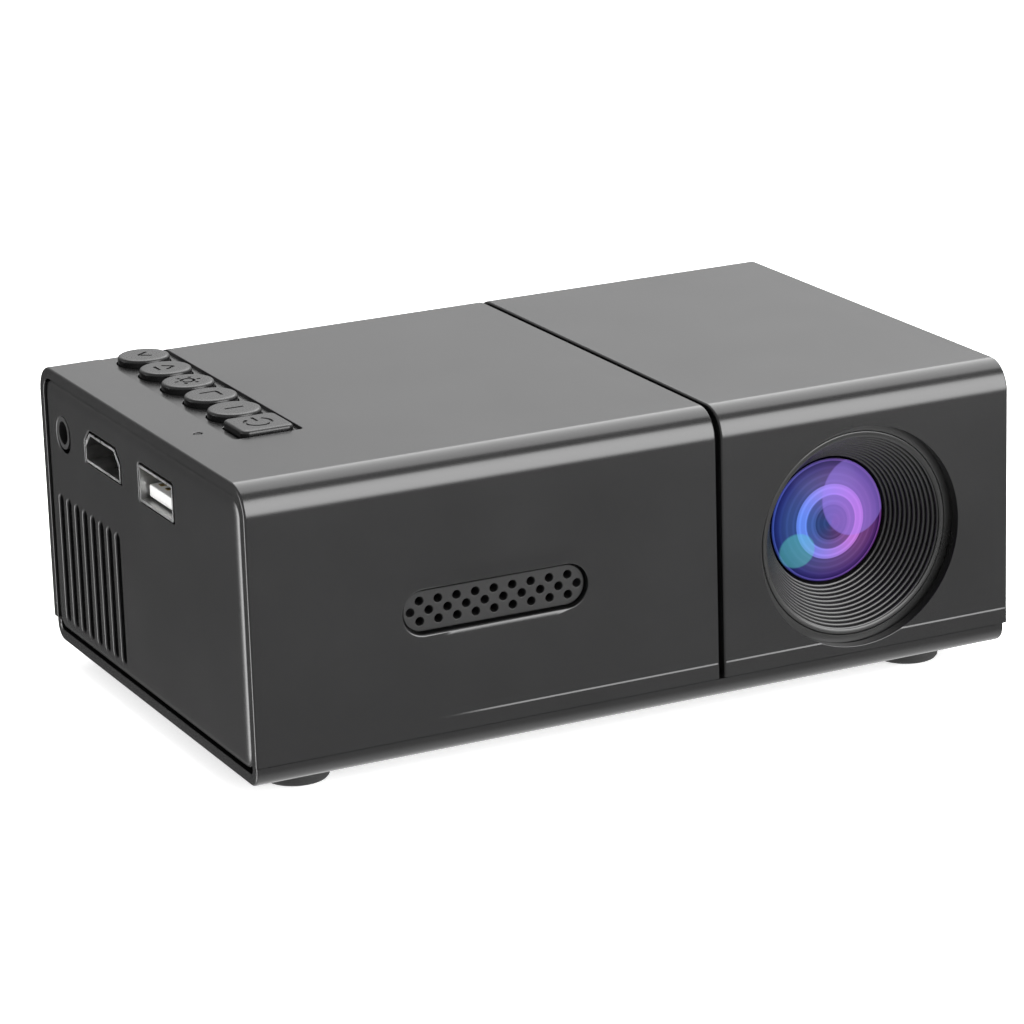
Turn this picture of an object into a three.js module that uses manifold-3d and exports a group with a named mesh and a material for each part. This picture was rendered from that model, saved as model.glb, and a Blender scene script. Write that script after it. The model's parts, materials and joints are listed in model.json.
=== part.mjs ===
// A small home projector: a two-part upper casing on a shallow bottom shell, with its ports,
// keys, focusing lens, light engine, speaker and fan. Millimetres, +Z up. The lens looks
// along -Y, the ports face -X, and the rubber feet stand on z = 0 around the origin.

import * as THREE from 'three';
import { mergeVertices } from 'three/addons/utils/BufferGeometryUtils.js';
import Module from 'manifold-3d';

const wasm = await Module();
wasm.setup();

// overall sizes
const length = 126;
const depth = 82;
const height = 44.6;
const footHeight = 3.8;
const halfLength = length / 2;
const halfDepth = depth / 2;

// casing
const wall = 1.8;
const floor = 1.8;
const topRadius = 4.5;
const bottomRadius = 2.6;
const partingHeight = 2.8;
const partingGap = 0.3;
const shellInset = 0.6;
const lensSection = 50.3;
const splitX = halfLength - lensSection;
const splitGap = 1.2;
const tongueReach = 2.2;
const tongueWall = 1.2;
const lipHeight = 2.4;
const endRidge = 1;
const clearance = 0.3;
const flatGap = 0.1;
const mainEnd = splitX - splitGap / 2;
const lensStart = splitX + splitGap / 2;
const coverBottom = partingHeight + partingGap;
const ceiling = height - wall;
const innerHalf = halfDepth - wall;
const frontFace = -halfDepth;

// end panels
const panelThickness = 1.8;
const panelInset = 0.1;
const panelStep = 0.5;
const panelBorder = 0.5;
const ventCount = 8;
const ventPitch = 3.43;
const ventWidth = 1.8;
const ventLow = 4.2;
const ventFromBack = 18.5;
const ventCentreY = halfDepth - ventFromBack;

// screws and feet: one screw is hidden under each foot
const screwRadius = 1.25;
const screwHeadRadius = 2.4;
const screwHeadHeight = 1.4;
const screwHeadSink = 0.8;
const screwLength = 6;
const postRadius = 3;
const postHeight = 5;
const footFromEnd = 11;
const footFromSide = 12;
const footX = halfLength - footFromEnd;
const footY = halfDepth - footFromSide;
const footRadius = 5;
const footFlangeRadius = 5.9;
const footFlange = 0.9;
const nutRadius = 5;
const nutHeight = 6;
const nutBore = 3.1;
const nutSink = 0.6;
const seatWidth = 4;
const seatProud = 0.4;

// slots through the bottom, under the board
const underVents = 7;
const underPitch = 4;
const underWidth = 2;
const underLength = 22;
const underX = -halfLength + 41;
const underY = halfDepth - 25;

// keys and board
const roundKeys = 5;
const keyRadius = 4.05;
const keyGap = 1;
const keyPitch = 2 * keyRadius + keyGap;
const keyFromEnd = 14.8;
const keyX = -halfLength + keyFromEnd;
const keyFlange = 0.7;
const keyFlangeLength = 2 * keyRadius + 2.5;
const keyFlangeWidth = keyPitch - 2.7;
const keysFromBack = keyFlangeWidth / 2 + 4.2;
const powerKeyY = halfDepth - keysFromBack - roundKeys * keyPitch;
const keyProud = 0.7;
const keyBevel = 0.4;
const powerKeySize = 8.3;
const keySlack = 0.25;
const keyTravel = 0.3;
const stripFromEnd = 9;
const stripWidth = 11;
const stripMargin = 0.55;
const stripDepth = 0.5;
const stripX = [-halfLength + stripFromEnd, -halfLength + stripFromEnd + stripWidth];
const stripFrontY = powerKeyY - powerKeySize / 2 - stripMargin;
const stemRadius = 1.1;
const switchSize = 6;
const switchHeight = 1.4;
const boardDrop = 3;
const boardTop = ceiling - boardDrop;
const boardThickness = 1.2;
const boardBottom = boardTop - boardThickness;
const boardX = [-halfLength + 3.4, mainEnd - 6.1];
const boardHalfWidth = halfDepth - 5;
const boardNotch = [8, 12];
const hangerX = [boardX[0] + 29.6, boardX[1] - 10];
const hangerY = boardHalfWidth - 9;
const hangerRadius = 2.2;
const hangerHole = 1.1;
const ventHigh = boardBottom - 13.6;
const lightPipeX = -halfLength + 5.7;
const lightPipeY = powerKeyY + 1.2;
const lightPipeRadius = 0.5;
const chipX = boardX[0] + 32.6;
const chipY = -1;
const chipSize = 14;
const chipThickness = 1.6;
const capacitorX = boardX[0] + 47.6;
const capacitorY = 14;
const capacitorRadius = 3.2;
const capacitorHeight = 9;

// sockets on the port side, hung under the board and spaced from the back of the case
const hdmiWidth = 14.4;
const hdmiHeight = 4.9;
const hdmiDepth = 11;
const hdmiY = halfDepth - 26.2;
const hdmiZ = boardBottom - hdmiHeight / 2 - 0.55;
const hdmiTongueWidth = 10.6;
const usbWidth = 13.2;
const usbHeight = 5.7;
const usbDepth = 14;
const usbY = halfDepth - 47.9;
const usbZ = boardBottom - usbHeight / 2 - 0.35;
const usbTongueWidth = 11.1;
const usbTongueThickness = 2;
const tongueSink = 4.3;
const socketSheet = 0.4;
const jackBody = 6.2;
const jackBore = 1.85;
const jackCollar = 2.6;
const jackDepth = 12;
const jackY = halfDepth - 9.4;
const jackZ = boardBottom - jackBody / 2 - 0.2;

// sockets in the back wall
const powerJackX = -halfLength + 33;
const powerJackBody = 9;
const powerJackBore = 2.9;
const powerJackDepth = 11;
const cardSlotX = -halfLength + 55;
const cardSlotWidth = 14;
const cardSlotHeight = 2;
const cardSlotDepth = 13;

// speaker
const speakerX = -halfLength + 38.7;
const speakerZ = height / 2 - 0.4;
const grilleWidth = 29.8;
const grilleHeight = 6.7;
const grilleSink = 0.9;
const grilleThickness = 1.2;
const grilleFlange = 1.6;
const holeRadius = 0.65;
const holePitch = 2.99;
const holeRow = 1.53;
const grilleBack = frontFace + wall + clearance;
const grilleSlack = 0.25;
const speakerRadius = 14;
const speakerDepth = 7;
const magnetRadius = 7;
const magnetDepth = 3;

// fan
const fanSize = 27;
const fanThickness = 5;
const fanLow = 4;
const fanCentreZ = fanLow + fanSize / 2;
const fanRadius = 12.4;
const hubRadius = 5;
const bladeCount = 7;
const bladeThickness = 0.7;
const strutWidth = 2;

// optics, measured back from the front face along the lens axis
const lensFromEnd = 26.1;
const lensDrop = 1.05;
const lensX = halfLength - lensFromEnd;
const lensZ = height / 2 - lensDrop;
const cellRadius = 9.6;
const holeForRing = 17.2;
const ringRimRadius = holeForRing - 1;
const ringRimSink = 1.5;
const ringFlangeRadius = holeForRing + 1.1;
const ringFlangeThickness = 1.2;
const coneMouth = ringRimRadius - 0.9;
const coneThroat = cellRadius + 0.35;
const coneEnd = 10.2;
const coneSteps = 9;
const cellFront = 11;
const cellWall = 0.6;
const cellLength = 11;
const cellSeat = 5;
const cellPinAt = 7;
const seatRing = 1.4;
const seatThickness = 2;
const glassSlack = 0.2;
const glassBulge = 1.5;
const glassHead = 0.6;
const tubeWall = 1.35;
const skirtWall = 1.6;
const skirtEnd = 24.2;
const pinRadius = 1;
const pinSlack = 0.3;
const focusAngle = Math.PI / 4;
const focusTravel = 1.5;
const pinCount = 3;
const tubeFlange = 1.5;
const tubeFlangeRadius = 15;

// light engine, its plates evenly spaced along the box
const boxHalfWidth = lensSection / 2 - 6.15;
const boxHalfHeight = lensZ - coverBottom - 1.55;
const boxLength = depth - 46;
const boxWall = 1.6;
const grooveDepth = 0.8;
const plateThickness = 1.2;
const plateSpacing = boxLength / 9;
const plateNames = ['fresnel_front', 'lcd_panel', 'heat_glass', 'fresnel_rear'];
const funnelStart = 5 * plateSpacing;
const funnelEnd = 7.5 * plateSpacing;
const funnelThroat = 5;
const condenserRadius = 6;
const ledSize = 7;
const ledBoard = 1.6;
const sinkBase = 3;
const sinkDepth = 12.5;
const finCount = 9;
const finThickness = 1.2;

// worked out from the sizes above
const panelOuter = halfLength - panelInset;
const panelInner = panelOuter - panelThickness;
const focusRatio = focusTravel / focusAngle;
const tubeInner = cellRadius + clearance;
const tubeOuter = tubeInner + tubeWall;
const skirtInner = tubeOuter + clearance;
const skirtOuter = skirtInner + skirtWall;
const tubeEnd = skirtEnd + clearance + tubeFlange;
const boxFront = frontFace + tubeEnd + clearance;
const boxBack = boxFront + boxLength;

// sides of a small and of a large round piece
const round = 16;
const fine = 36;

const plastic = (colour, roughness) =>
  new THREE.MeshStandardMaterial({ color: colour, roughness, metalness: 0 });
const metal = (colour, roughness) =>
  new THREE.MeshStandardMaterial({ color: colour, roughness, metalness: 1 });

const projector = new THREE.Group();
projector.name = 'projector';
const casing = new THREE.Group();
casing.position.z = footHeight;
projector.add(casing);

// a closed geometry as a solid, with its faces turned outward
function solid(geometry) {
  const bare = geometry.index ? geometry.clone() : mergeVertices(geometry);
  bare.deleteAttribute('normal');
  bare.deleteAttribute('uv');
  const merged = mergeVertices(bare, 1e-4);
  const points = merged.attributes.position.array;
  const faces = [];
  const index = merged.index.array;
  let volume = 0;
  for (let i = 0; i < index.length; i += 3) {
    const [a, b, c] = [index[i], index[i + 1], index[i + 2]];
    if (a !== b && b !== c && c !== a) {
      faces.push(a, b, c);
      const [p, q, r] = [a, b, c].map((k) => new THREE.Vector3().fromArray(points, 3 * k));
      volume += p.dot(q.cross(r));
    }
  }
  if (volume < 0) {
    faces.reverse();
  }
  const mesh = new wasm.Mesh({
    numProp: 3,
    vertProperties: new Float32Array(points),
    triVerts: new Uint32Array(faces),
  });
  return new wasm.Manifold(mesh);
}

function join(first, ...others) {
  return others.reduce((whole, other) => whole.add(other), first);
}

function cut(first, ...tools) {
  return tools.reduce((whole, tool) => whole.subtract(tool), first);
}

// a finished solid as a named mesh
function piece(name, body, material, parent = casing) {
  const { vertProperties, triVerts } = body.getMesh();
  const geometry = new THREE.BufferGeometry();
  geometry.setAttribute('position', new THREE.BufferAttribute(new Float32Array(vertProperties), 3));
  geometry.setIndex(new THREE.BufferAttribute(new Uint32Array(triVerts), 1));
  geometry.computeVertexNormals();
  const mesh = new THREE.Mesh(geometry, material);
  mesh.name = name;
  parent.add(mesh);
}

function block(x0, x1, y0, y1, z0, z1) {
  const geometry = new THREE.BoxGeometry(x1 - x0, y1 - y0, z1 - z0);
  geometry.translate((x0 + x1) / 2, (y0 + y1) / 2, (z0 + z1) / 2);
  return solid(geometry);
}

// a shape drawn in (y, z) and carried along X, or drawn in (x, z) and carried along Y,
// or drawn in (x, y) and carried along Z
function along(axis, shape, from, to, curveSegments = 4) {
  const settings = { depth: to - from, bevelEnabled: false, curveSegments };
  const geometry = new THREE.ExtrudeGeometry(shape, settings);
  geometry.translate(0, 0, from);
  const turn = new THREE.Matrix4();
  if (axis === 'x') {
    turn.set(0, 0, 1, 0, 1, 0, 0, 0, 0, 1, 0, 0, 0, 0, 0, 1);
  }
  if (axis === 'y') {
    turn.set(1, 0, 0, 0, 0, 0, 1, 0, 0, 1, 0, 0, 0, 0, 0, 1);
  }
  geometry.applyMatrix4(turn);
  return solid(geometry);
}

// a rectangle with its corners rounded: lower pair and upper pair
function roundedRect(cx, cy, width, tall, lower, upper = lower) {
  const shape = new THREE.Shape();
  const [x0, x1, y0, y1] = [cx - width / 2, cx + width / 2, cy - tall / 2, cy + tall / 2];
  shape.moveTo(x0 + lower, y0);
  shape.lineTo(x1 - lower, y0);
  if (lower > 0) {
    shape.absarc(x1 - lower, y0 + lower, lower, -Math.PI / 2, 0);
  }
  shape.lineTo(x1, y1 - upper);
  if (upper > 0) {
    shape.absarc(x1 - upper, y1 - upper, upper, 0, Math.PI / 2);
  }
  shape.lineTo(x0 + upper, y1);
  if (upper > 0) {
    shape.absarc(x0 + upper, y1 - upper, upper, Math.PI / 2, Math.PI);
  }
  shape.lineTo(x0, y0 + lower);
  if (lower > 0) {
    shape.absarc(x0 + lower, y0 + lower, lower, Math.PI, 1.5 * Math.PI);
  }
  return shape;
}

// a cylinder along one axis, its centre line given by the two other coordinates
function rod(axis, radius, from, to, a, b, sides = round) {
  const geometry = new THREE.CylinderGeometry(radius, radius, to - from, sides);
  geometry.translate(0, (from + to) / 2, 0);
  if (axis === 'x') {
    geometry.rotateZ(-Math.PI / 2);
    geometry.translate(0, a, b);
  }
  if (axis === 'y') {
    geometry.translate(a, 0, b);
  }
  if (axis === 'z') {
    geometry.rotateX(Math.PI / 2);
    geometry.translate(a, b, 0);
  }
  return solid(geometry);
}

// a profile of [radius, distance behind the front face] turned about the lens axis
function turned(profile, sides = fine) {
  const points = profile.map(([radius, behind]) => new THREE.Vector2(radius, frontFace + behind));
  const geometry = new THREE.LatheGeometry(points, sides);
  geometry.translate(lensX, 0, lensZ);
  return solid(geometry);
}

// ---- casing shells

// the cross-section of the upper casing, moved inward by an offset
function coverSection(offset, bottom) {
  const top = height - offset;
  const shape = roundedRect(0, (bottom + top) / 2, depth - 2 * offset, top - bottom, 0,
    topRadius - offset * 0.8);
  return shape;
}

function coverRun(from, to, outerOffset, innerOffset, bottom) {
  const outer = along('x', coverSection(outerOffset, bottom), from, to);
  const inner = along('x', coverSection(innerOffset, bottom - 1), from - 1, to + 1);
  return outer.subtract(inner);
}

// a hollow post for a case screw, webbed to the nearest side wall
function screwPost(x, side) {
  const low = coverBottom + clearance;
  const post = rod('z', postRadius, low, low + postHeight, x, side * footY);
  const [near, far] = [footY, innerHalf + wall / 2];
  const webLow = partingHeight + lipHeight + clearance;
  const y = [side * near, side * far].sort((p, q) => p - q);
  const web = block(x - 0.8, x + 0.8, y[0], y[1], webLow, low + postHeight);
  return [join(post, web), rod('z', screwRadius + 0.25, low - 1, screwTip() + 0.5, x, side * footY)];
}

function screwTip() {
  return screwHeadSink + screwHeadHeight + screwLength;
}

function mainCover() {
  const shell = coverRun(-halfLength, mainEnd, 0, wall, coverBottom);
  const underlap = wall + clearance;
  const tongue = coverRun(mainEnd - 1, mainEnd + splitGap + tongueReach, underlap, underlap + tongueWall,
    coverBottom);
  const root = coverRun(mainEnd - 4, mainEnd, wall / 2, underlap + tongueWall, coverBottom);
  const posts = [-1, 1].map((side) => screwPost(-footX, side));
  const hangers = hangerX.flatMap((x) => [-1, 1].map((side) => (
    rod('z', hangerRadius, boardTop + flatGap, ceiling + wall / 2, x, side * hangerY, 12))));
  const whole = join(shell, root, tongue, ...posts.map(([post]) => post), ...hangers);
  const strip = block(stripX[0], stripX[1], stripFrontY, halfDepth + 1, height - stripDepth, height + 1);
  const keyHoles = keyPlaces().map(({ y, square }) => keyOutline(y, square, keySlack, ceiling - 1,
    height + 1));
  const pipeHole = rod('z', lightPipeRadius + 0.2, ceiling - 1, height + 1, lightPipeX, lightPipeY, 12);
  const grille = stadium(grilleWidth, grilleHeight, frontFace - 1, frontFace + wall + 1);
  const powerHole = rod('y', powerJackBore + 0.8, innerHalf - 1, halfDepth + 1, powerJackX, powerJackZ());
  const cardHole = along('y', roundedRect(cardSlotX, cardSlotZ(), cardSlotWidth - 2, cardSlotHeight, 0.3),
    innerHalf - 1, halfDepth + 1, 2);
  return cut(whole, ...posts.map(([, bore]) => bore), strip, ...keyHoles, pipeHole, grille, powerHole,
    cardHole);
}

function lensCover() {
  const shell = coverRun(lensStart, halfLength, 0, wall, coverBottom);
  const posts = [-1, 1].map((side) => screwPost(footX, side));
  const whole = join(shell, ...posts.map(([post]) => post));
  const lensHole = rod('y', holeForRing, frontFace - 1, frontFace + wall + 1, lensX, lensZ, fine);
  return cut(whole, ...posts.map(([, bore]) => bore), lensHole);
}

function bottomShell() {
  const halfX = halfLength - shellInset / 2;
  const halfY = halfDepth - shellInset;
  const middle = partingHeight / 2;
  const outer = along('x', roundedRect(0, middle, 2 * halfY, partingHeight, bottomRadius, 0), -halfX,
    halfX);
  const bowl = block(-panelInner + endRidge, panelInner - endRidge, -halfY + wall, halfY - wall, floor,
    partingHeight + 1);
  const ends = [-1, 1].map((side) => {
    const x = [side * (panelInner - clearance), side * (halfLength + 1)].sort((p, q) => p - q);
    return block(x[0], x[1], -innerHalf, innerHalf, floor, partingHeight + 1);
  });
  const lipOuter = innerHalf - clearance;
  const lips = [-1, 1].flatMap((side) => {
    const y = [side * (lipOuter - tongueWall), side * lipOuter].sort((p, q) => p - q);
    const runs = [[-panelInner + 2, mainEnd - 5], [lensStart + tongueReach + 1, panelInner - 2]];
    return runs.map(([from, to]) => block(from, to, y[0], y[1], floor - 0.5, partingHeight + lipHeight));
  });
  const screws = [-footX, footX].flatMap((x) => [-footY, footY].map((y) => [x, y]));
  const bosses = screws.map(([x, y]) => rod('z', postRadius + 0.6, floor - 0.5, coverBottom, x, y));
  const nutPost = rod('z', nutRadius + 2, floor - 0.5, nutSink + nutHeight + 1.5, 0, 0);
  const seat = rod('z', nutRadius + seatWidth, -seatProud, floor / 2, 0, 0);
  const vents = Array.from({ length: underVents }, (_, k) => {
    const x = underX + (k - (underVents - 1) / 2) * underPitch;
    return along('z', roundedRect(x, underY, underWidth, underLength, underWidth / 2 - 0.01), -1,
      floor + 1, 2);
  });
  const heads = screws.map(([x, y]) => rod('z', screwHeadRadius + clearance, -1,
    screwHeadSink + screwHeadHeight + flatGap, x, y));
  const shanks = screws.map(([x, y]) => rod('z', screwRadius + 0.25, -1, coverBottom + 1, x, y));
  const nutHole = rod('z', nutRadius + 0.25, -1, nutSink + nutHeight + flatGap, 0, 0);
  const ringRoom = rod('y', ringFlangeRadius + clearance, -lipOuter - clearance, -lipOuter + 5, lensX,
    lensZ, fine);
  const body = join(cut(outer, bowl, ...ends), ...lips, ...bosses, nutPost, seat);
  return cut(body, ringRoom, ...vents, ...heads, ...shanks, nutHole);
}

// an end plate: a stepped plate whose middle stands a little proud of its border
function endPanel(side) {
  const half = innerHalf - clearance;
  const [low, top] = [floor + clearance, ceiling - clearance];
  const corner = topRadius - wall;
  const shapeAt = (border) => roundedRect(0, (low + top) / 2, 2 * (half - border), top - low - 2 * border,
    bottomRadius - border, corner - border * 0.5);
  const [back, step, face] = [panelInner, panelOuter - panelStep, panelOuter].map((x) => side * x);
  const plate = along('x', shapeAt(0), Math.min(back, step), Math.max(back, step), 3);
  const proud = along('x', shapeAt(panelBorder), Math.min(back, face), Math.max(back, face), 3);
  const span = [Math.min(back, face) - 1, Math.max(back, face) + 1];
  const slots = [];
  for (let k = 0; k < ventCount; k += 1) {
    const y = ventCentreY + (k - (ventCount - 1) / 2) * ventPitch;
    slots.push(along('x', roundedRect(y, (ventLow + ventHigh) / 2, ventWidth, ventHigh - ventLow,
      ventWidth / 2 - 0.01), span[0], span[1], 2));
  }
  return cut(join(plate, proud), ...slots);
}

function portPanel() {
  const span = [-halfLength - 1, -panelInner + 1];
  const sockets = [
    along('x', hdmiOutline(clearance), span[0], span[1], 3),
    along('x', roundedRect(usbY, usbZ, usbWidth + 2 * clearance, usbHeight + 2 * clearance, 0.5),
    span[0], span[1], 2),
    rod('x', jackCollar + clearance, span[0], span[1], jackY, jackZ),
  ];
  return cut(endPanel(-1), ...sockets);
}

// ---- fasteners, feet and stand socket

function caseScrew(x, y) {
  const headTop = screwHeadSink + screwHeadHeight;
  const head = rod('z', screwHeadRadius, screwHeadSink, headTop, x, y);
  const shank = rod('z', screwRadius, headTop - 0.2, screwTip(), x, y, 12);
  const drive = [0, Math.PI / 2].map((turn) => {
    const bar = new THREE.BoxGeometry(2.6, 0.6, 1.4);
    bar.rotateZ(turn);
    bar.translate(x, y, screwHeadSink);
    return solid(bar);
  });
  return cut(join(head, shank), ...drive);
}

function foot(x, y) {
  const flange = rod('z', footFlangeRadius, -footFlange, -flatGap, x, y);
  const pad = rod('z', footRadius, -footHeight, -footFlange + 0.2, x, y);
  return join(flange, pad);
}

function tripodNut() {
  const ring = rod('z', nutRadius, nutSink, nutSink + nutHeight, 0, 0);
  const bore = rod('z', nutBore, nutSink - 1, nutSink + nutHeight + 1, 0, 0);
  return cut(ring, bore);
}

// ---- keys and their switches

function keyPlaces() {
  const places = [{ name: 'power_key', y: powerKeyY, square: true }];
  for (let k = 1; k <= roundKeys; k += 1) {
    places.push({ name: `round_key_${k}`, y: powerKeyY + k * keyPitch, square: false });
  }
  return places;
}

function keyOutline(y, square, grow, from, to) {
  if (square) {
    const size = powerKeySize + 2 * grow;
    return along('z', roundedRect(keyX, y, size, size, 1.2), from, to, 3);
  }
  return rod('z', keyRadius + grow, from, to, keyX, y);
}

function keyCap({ y, square }) {
  const flangeTop = ceiling - clearance;
  const top = height + keyProud;
  const low = flangeTop - keyFlange;
  const cap = keyOutline(y, square, 0, low, top - keyBevel);
  const crown = keyOutline(y, square, -keyBevel, low, top);
  const flange = block(keyX - keyFlangeLength / 2, keyX + keyFlangeLength / 2,
    y - keyFlangeWidth / 2, y + keyFlangeWidth / 2, low, flangeTop);
  const stem = rod('z', stemRadius, stemTip(), low + 0.2, keyX, y, 12);
  return join(cap, crown, flange, stem);
}

function stemTip() {
  return boardTop + switchHeight / 2;
}

function keySwitch(y) {
  const half = switchSize / 2;
  const low = boardTop + flatGap;
  const body = block(keyX - half, keyX + half, y - half, y + half, low, boardTop + switchHeight);
  const well = rod('z', stemRadius + clearance, stemTip() - keyTravel - 0.05, height, keyX, y, 12);
  return cut(body, well);
}

function lightPipe() {
  return rod('z', lightPipeRadius, boardTop + flatGap, height - flatGap, lightPipeX, lightPipeY, 12);
}

// ---- board and sockets

function mainBoard() {
  const half = boardHalfWidth;
  const board = block(boardX[0], boardX[1], -half, half, boardBottom, boardTop);
  const notch = block(boardX[1] - boardNotch[0], boardX[1] + 1, -half - 1, -half + boardNotch[1],
    boardBottom - 1, boardTop + 1);
  const holes = hangerX.flatMap((x) => [-hangerY, hangerY].map((y) => (
    rod('z', hangerHole, boardBottom - 1, boardTop + 1, x, y, 10))));
  return cut(board, notch, ...holes);
}

// a socket outline whose two upper corners are cut off, grown by an amount all round
function hdmiOutline(grow) {
  const [w, h] = [hdmiWidth / 2 + grow, hdmiHeight / 2 + grow];
  const bevel = hdmiHeight * 0.4;
  const shape = new THREE.Shape();
  shape.moveTo(hdmiY - w, hdmiZ - h);
  shape.lineTo(hdmiY + w, hdmiZ - h);
  shape.lineTo(hdmiY + w, hdmiZ + h - bevel);
  shape.lineTo(hdmiY + w - bevel, hdmiZ + h);
  shape.lineTo(hdmiY - w + bevel, hdmiZ + h);
  shape.lineTo(hdmiY - w, hdmiZ + h - bevel);
  return shape;
}

function hdmiSocket() {
  const front = -panelOuter;
  const outer = along('x', hdmiOutline(0), front, front + hdmiDepth);
  const inner = along('x', hdmiOutline(-socketSheet), front - 1, front + hdmiDepth - 1);
  return cut(outer, inner);
}

function hdmiTongue() {
  const front = -panelOuter;
  const end = front + hdmiDepth - 1 - flatGap;
  const half = hdmiTongueWidth / 2;
  return block(front + tongueSink, end, hdmiY - half, hdmiY + half, hdmiZ - 0.9, hdmiZ + 0.7);
}

function usbSocket() {
  const front = -panelOuter;
  const outer = along('x', roundedRect(usbY, usbZ, usbWidth, usbHeight, 0.4), front, front + usbDepth, 2);
  const inner = block(front - 1, front + usbDepth - 1, usbY - usbWidth / 2 + socketSheet,
    usbY + usbWidth / 2 - socketSheet, usbZ - usbHeight / 2 + socketSheet,
    usbZ + usbHeight / 2 - socketSheet);
  return cut(outer, inner);
}

function usbTongue() {
  const front = -panelOuter;
  const end = front + usbDepth - 1 - flatGap;
  const half = usbTongueWidth / 2;
  return block(front + tongueSink, end, usbY - half, usbY + half, usbZ - 0.1 - usbTongueThickness,
    usbZ - 0.1);
}

function avJack() {
  const half = jackBody / 2;
  const body = block(-panelInner + clearance, -panelInner + jackDepth, jackY - half, jackY + half,
    jackZ - half, boardBottom - flatGap);
  const collar = rod('x', jackCollar, -panelOuter, -panelInner + 1, jackY, jackZ);
  const bore = rod('x', jackBore, -panelOuter - 1, -panelInner + jackDepth - 1.5, jackY, jackZ);
  return cut(join(body, collar), bore);
}

function powerJackZ() {
  return boardBottom - flatGap - powerJackBody / 2;
}

function powerJack() {
  const half = powerJackBody / 2;
  const z = powerJackZ();
  const back = innerHalf - clearance;
  const body = block(powerJackX - half, powerJackX + half, back - powerJackDepth, back, z - half, z + half);
  const bore = rod('y', powerJackBore, back - powerJackDepth + 2, back + 1, powerJackX, z);
  const pin = rod('y', 0.8, back - powerJackDepth + 1, back - 0.6, powerJackX, z, 10);
  return join(cut(body, bore), pin);
}

function cardSlotZ() {
  return boardBottom - flatGap - cardSlotHeight / 2 - socketSheet;
}

function cardSlot() {
  const z = cardSlotZ();
  const [half, tall] = [cardSlotWidth / 2, cardSlotHeight / 2];
  const back = innerHalf - clearance;
  const outer = block(cardSlotX - half, cardSlotX + half, back - cardSlotDepth, back,
    z - tall - socketSheet, z + tall + socketSheet);
  const inner = block(cardSlotX - half + 1, cardSlotX + half - 1, back - cardSlotDepth + 1, back + 1,
    z - tall, z + tall);
  return cut(outer, inner);
}

function scalerChip() {
  const top = boardBottom - flatGap;
  const half = chipSize / 2;
  return block(chipX - half, chipX + half, chipY - half, chipY + half, top - chipThickness, top);
}

function capacitor() {
  const top = boardBottom - flatGap;
  return rod('z', capacitorRadius, top - capacitorHeight, top, capacitorX, capacitorY);
}

// ---- speaker

function stadium(width, tall, from, to) {
  const shape = roundedRect(speakerX, speakerZ, width, tall, tall / 2 - 0.01);
  return along('y', shape, from, to, 5);
}

function speakerGrille() {
  const plugFront = frontFace + grilleSink;
  const plug = stadium(grilleWidth - 2 * grilleSlack, grilleHeight - 2 * grilleSlack, plugFront,
    grilleBack + 0.2);
  const flange = stadium(grilleWidth + 2 * grilleFlange, grilleHeight + 2 * grilleFlange,
    grilleBack, grilleBack + grilleThickness);
  const holes = [-1, 0, 1].flatMap((row) => {
    const count = row === 0 ? 10 : 9;
    return Array.from({ length: count }, (_, k) => {
      const x = speakerX + (k - (count - 1) / 2) * holePitch;
      return rod('y', holeRadius, plugFront - 1, grilleBack + grilleThickness + 1, x,
        speakerZ + row * holeRow, 8);
    });
  });
  return cut(join(plug, flange), ...holes);
}

function speakerStart() {
  return grilleBack + grilleThickness + clearance;
}

function speakerTurned(profile) {
  const points = profile.map(([radius, behind]) => new THREE.Vector2(radius, speakerStart() + behind));
  const geometry = new THREE.LatheGeometry(points, round);
  geometry.translate(speakerX, 0, speakerZ);
  return solid(geometry);
}

function speakerFrame() {
  const r = speakerRadius;
  return speakerTurned([[r, 0], [r, 1.5], [magnetRadius + 1, speakerDepth],
    [magnetRadius - 2, speakerDepth],
    [magnetRadius - 2, speakerDepth - 1], [magnetRadius, speakerDepth - 1], [r - 1.2, 1.2], [r - 1.2, 0],
    [r, 0]]);
}

function speakerCone() {
  const r = speakerRadius - 1.5;
  return speakerTurned([[0, 2], [3, 2.4], [4, 3.2], [r - 1.5, 0.6], [r, 0.6], [r, 1], [r - 1.4, 1.1],
    [4.3, 4.1], [3, 3.4], [0, 3]]);
}

function speakerMagnet() {
  const at = speakerDepth + flatGap;
  return speakerTurned([[0, at], [magnetRadius, at], [magnetRadius, at + magnetDepth],
    [0, at + magnetDepth]]);
}

// ---- fan behind the vents

function fanStart() {
  return -panelInner + clearance;
}

function fanFrame() {
  const start = fanStart();
  const end = start + fanThickness;
  const frame = along('x', roundedRect(ventCentreY, fanCentreZ, fanSize, fanSize, 2), start, end, 3);
  const duct = rod('x', fanRadius + 0.5, start - 1, end + 1, ventCentreY, fanCentreZ, 24);
  const corner = fanSize / 2 - 2.2;
  const holes = [[-1, -1], [-1, 1], [1, -1], [1, 1]].map(([a, b]) => (
    rod('x', 1, start - 1, end + 1, ventCentreY + a * corner, fanCentreZ + b * corner, 10)));
  const seat = rod('x', hubRadius, end - 1.2, end, ventCentreY, fanCentreZ);
  const struts = [0, 1, 2].map((k) => {
    const bar = new THREE.BoxGeometry(1.2, strutWidth, fanRadius + 1);
    bar.translate(0, 0, (fanRadius + 1) / 2);
    bar.rotateX((k * 2 * Math.PI) / 3);
    bar.translate(end - 0.6, ventCentreY, fanCentreZ);
    return solid(bar);
  });
  return join(cut(frame, duct, ...holes), seat, ...struts);
}

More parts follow.
